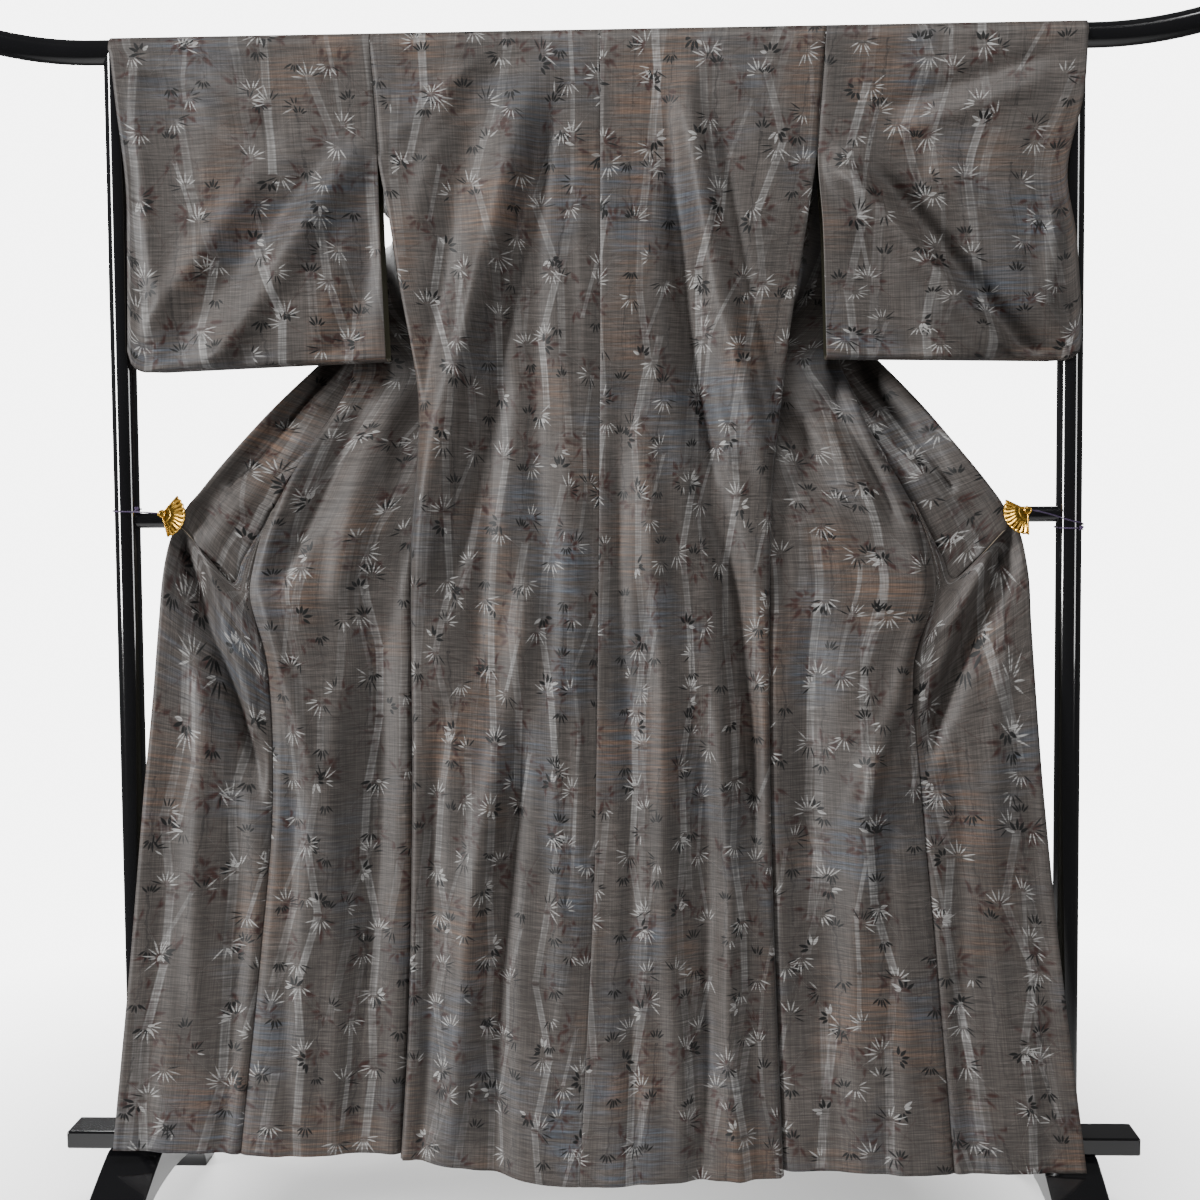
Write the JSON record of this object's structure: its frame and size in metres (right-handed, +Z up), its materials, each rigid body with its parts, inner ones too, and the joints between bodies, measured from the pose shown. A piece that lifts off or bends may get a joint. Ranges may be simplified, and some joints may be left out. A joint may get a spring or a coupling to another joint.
{
  "type": "silk kimono on a lacquered kimono stand",
  "caption": "Lined silk kimono spread on a black lacquer stand, back to the viewer, its open fronts drawn out to the sides by fan-shaped clips.",
  "frame": {"origin": "on the floor under the middle of the stand", "axes": "+X to the viewer's right along the beam, -Y towards the viewer of the garment's back, +Z up"},
  "size_m": [1.8714, 0.508, 1.7536],
  "materials": {
    "silk": "plain-woven taupe silk with slubs and a bamboo figure, soft sheen",
    "lining": "smooth olive-grey silk lining",
    "lacquer": "high-gloss black lacquer over wood",
    "gold": "polished gold plate",
    "cord": "twisted purple cord"
  },
  "bodies": {
    "root": {"body_left": "silk", "body_right": "silk", "overlap_left": "silk", "overlap_right": "silk", "sleeve_left": "silk", "sleeve_right": "silk", "collar": "silk", "beam": "lacquer", "post_left": "lacquer", "post_right": "lacquer", "rail": "lacquer", "plank": "lacquer", "foot_left": "lacquer", "foot_right": "lacquer", "fan_left": "gold", "fan_right": "gold", "fan_pin_left": "gold", "fan_pin_right": "gold", "jaw_left": "gold", "jaw_right": "gold", "cord_left": "cord", "cord_right": "cord", "knot_left": "cord", "knot_right": "cord"}
  },
  "joints": []
}
